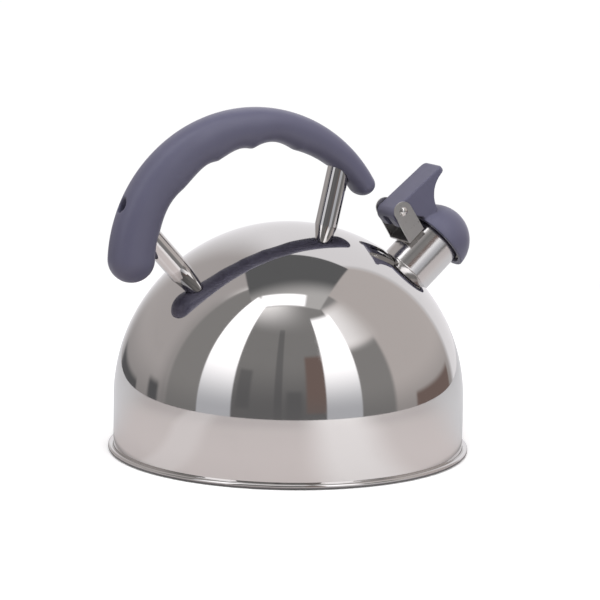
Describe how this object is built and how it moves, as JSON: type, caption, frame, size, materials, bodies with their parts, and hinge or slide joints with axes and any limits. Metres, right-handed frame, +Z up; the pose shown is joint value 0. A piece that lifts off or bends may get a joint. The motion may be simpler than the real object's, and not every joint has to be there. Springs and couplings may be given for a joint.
{
  "type": "whistling kettle",
  "caption": "Stovetop whistling kettle: hemispherical steel body, arched grip on two posts, and a sprung whistle cap with a thumb lever over a tilted spout.",
  "frame": {"origin": "centre of the base cover's underside, on the surface the kettle stands on", "axes": "+X towards the spout, +Z up, the XZ plane is the plane of symmetry through spout and handle"},
  "size_m": [0.2172, 0.201, 0.1912],
  "materials": {
    "polished_steel": "mirror-polished stainless steel",
    "satin_steel": "satin stainless steel",
    "spreader_aluminium": "plain rolled plate",
    "slate_plastic": "soft-touch matte, dark blue-grey",
    "silicone": "translucent white silicone"
  },
  "bodies": {
    "kettle": {"body_shell": "polished_steel", "base_pan": "polished_steel", "heat_disc": "spreader_aluminium", "base_cover": "satin_steel", "spout_tube": "polished_steel", "spout_bracket": "satin_steel", "hinge_rivet": "satin_steel", "return_spring": "satin_steel", "handle_grip": "slate_plastic", "rear_post": "polished_steel", "front_post": "polished_steel", "rear_head_plug": "satin_steel", "front_head_plug": "satin_steel", "rear_foot_plug": "satin_steel", "front_foot_plug": "satin_steel", "grip_screws": "satin_steel", "grip_washers": "satin_steel", "foot_screws": "satin_steel", "foot_seals": "silicone", "foot_washers": "satin_steel"},
    "cap": {"whistle_cap": "slate_plastic", "whistle_top_plate": "satin_steel", "whistle_base_plate": "satin_steel", "whistle_seal": "silicone", "whistle_snap_ring": "satin_steel"}
  },
  "joints": [
    {"name": "cap_hinge", "type": "hinge", "parent": "kettle", "child": "cap", "pos_m": [0.06386, 0, 0.13174], "axis": [0, -1, 0], "range_deg": [0, 50], "stiffness_Nm_per_rad": 0.03, "springref_deg": -45.84, "deforming": ["return_spring"]}
  ]
}
